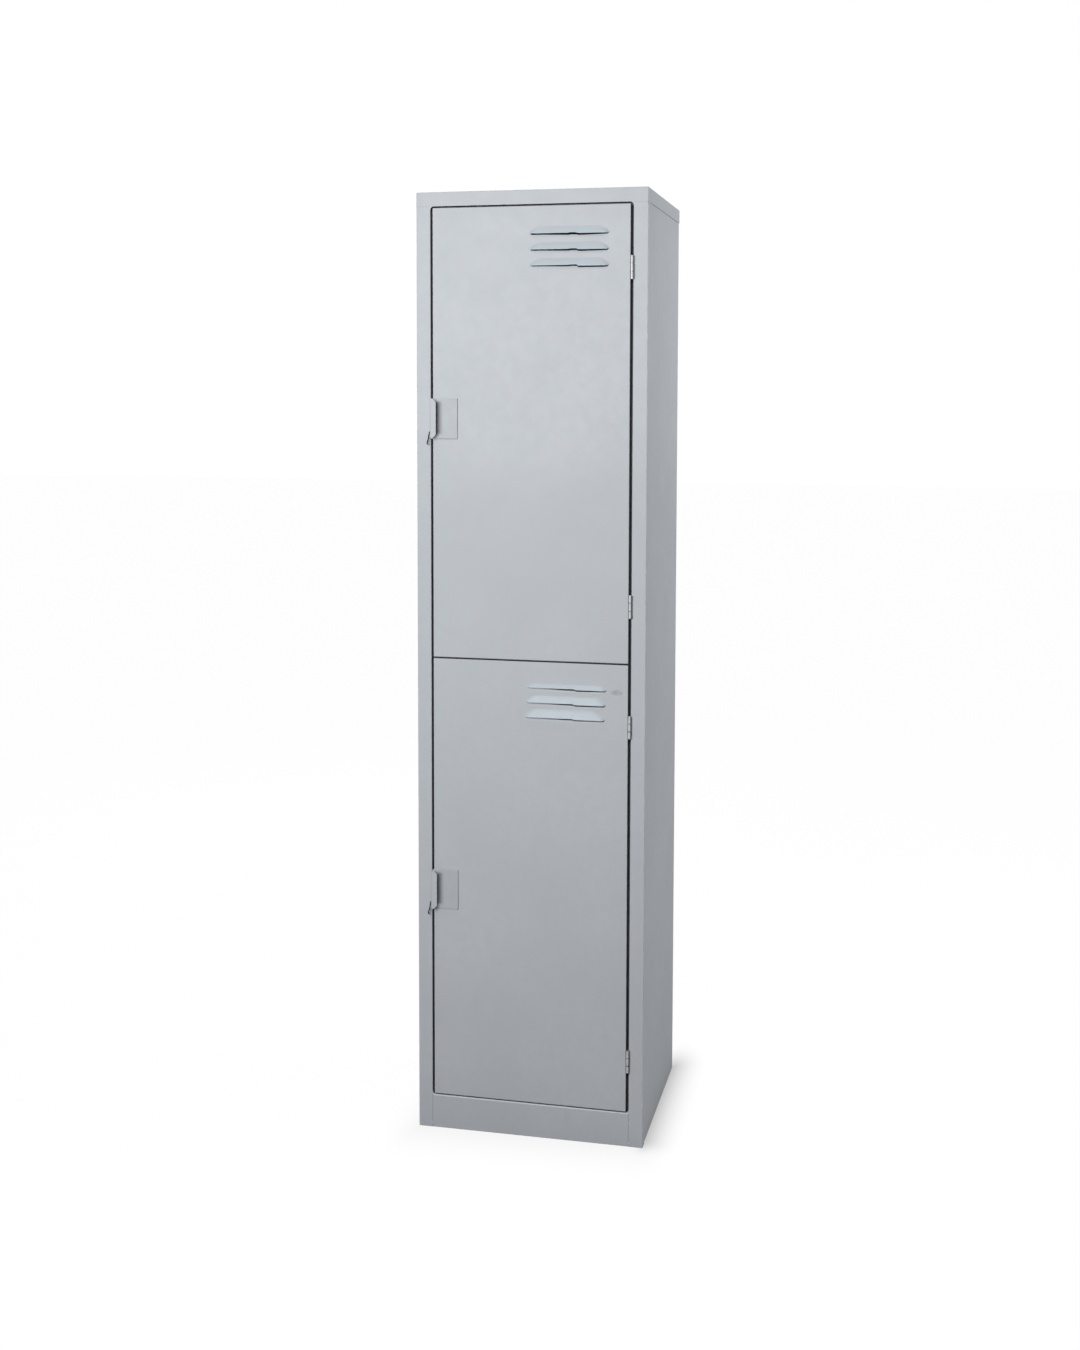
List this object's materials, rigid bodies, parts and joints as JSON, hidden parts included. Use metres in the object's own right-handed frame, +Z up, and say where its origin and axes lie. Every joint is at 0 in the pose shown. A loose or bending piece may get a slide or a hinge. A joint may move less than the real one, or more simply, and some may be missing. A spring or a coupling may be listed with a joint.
{
  "type": "locker cabinet",
  "caption": "Free-standing single-column steel locker with stacked inset doors on butt hinges, louvred vents, padlockable bent-plate handles, shelves and coat hooks.",
  "frame": {"origin": "centre of the bounding box's footprint, on the floor under the cabinet", "axes": "+Z up, doors face -Y, hinges on the +X side and handles on the -X side"},
  "size_m": [0.448, 0.4136, 1.83],
  "materials": {
    "cabinet_paint": "satin stoved enamel, pale bluish grey",
    "door_paint": "satin stoved enamel, pale bluish grey",
    "hinge_paint": "thinly overpainted steel hinge",
    "bright_steel": "zinc-plated steel",
    "dark_wire": "dark oiled steel wire",
    "rubber": "matt black rubber",
    "magnet_case": "off-white moulded plastic"
  },
  "bodies": {
    "cabinet": {"side_panel_left": "cabinet_paint", "side_panel_right": "cabinet_paint", "back_panel": "cabinet_paint", "top_cap": "cabinet_paint", "stile_left": "cabinet_paint", "stile_right": "cabinet_paint", "header_rail": "cabinet_paint", "plinth": "cabinet_paint", "middle_shelf": "cabinet_paint", "bottom_shelf": "cabinet_paint", "hinge_frame_leaf_upper_top": "hinge_paint", "hinge_frame_leaf_upper_bottom": "hinge_paint", "hinge_frame_leaf_lower_top": "hinge_paint", "hinge_frame_leaf_lower_bottom": "hinge_paint", "hinge_pin_upper_top": "bright_steel", "hinge_pin_upper_bottom": "bright_steel", "hinge_pin_lower_top": "bright_steel", "hinge_pin_lower_bottom": "bright_steel", "padlock_tongue_upper": "bright_steel", "padlock_tongue_lower": "bright_steel", "magnet_catch_upper": "magnet_case", "magnet_catch_lower": "magnet_case", "rubber_buffer_upper_top": "rubber", "rubber_buffer_upper_bottom": "rubber", "rubber_buffer_lower_top": "rubber", "rubber_buffer_lower_bottom": "rubber", "coat_hook_upper": "bright_steel", "coat_hook_lower": "bright_steel"},
    "door_upper": {"door_pan_upper": "door_paint", "door_stiffener_upper": "door_paint", "handle_upper": "door_paint", "strike_plate_upper": "bright_steel", "hinge_door_leaf_upper_top": "hinge_paint", "hinge_door_leaf_upper_bottom": "hinge_paint"},
    "door_lower": {"door_pan_lower": "door_paint", "door_stiffener_lower": "door_paint", "handle_lower": "door_paint", "strike_plate_lower": "bright_steel", "hinge_door_leaf_lower_top": "hinge_paint", "hinge_door_leaf_lower_bottom": "hinge_paint"},
    "clip_upper": {"wire_clip_upper": "dark_wire"},
    "clip_lower": {"wire_clip_lower": "dark_wire"}
  },
  "joints": [
    {"name": "door_upper_hinge", "type": "hinge", "parent": "cabinet", "child": "door_upper", "pos_m": [0.1943, -0.19685, 1.36525], "axis": [0, 0, 1], "range_deg": [0, 170]},
    {"name": "door_lower_hinge", "type": "hinge", "parent": "cabinet", "child": "door_lower", "pos_m": [0.1943, -0.19685, 0.494], "axis": [0, 0, 1], "range_deg": [0, 170]},
    {"name": "clip_upper_swing", "type": "hinge", "parent": "door_upper", "child": "clip_upper", "pos_m": [-0.19425, -0.20045, 1.3763], "axis": [1, 0, 0], "range_deg": [-90, 12]},
    {"name": "clip_lower_swing", "type": "hinge", "parent": "door_lower", "child": "clip_lower", "pos_m": [-0.19425, -0.20045, 0.4575], "axis": [1, 0, 0], "range_deg": [-90, 12]}
  ]
}
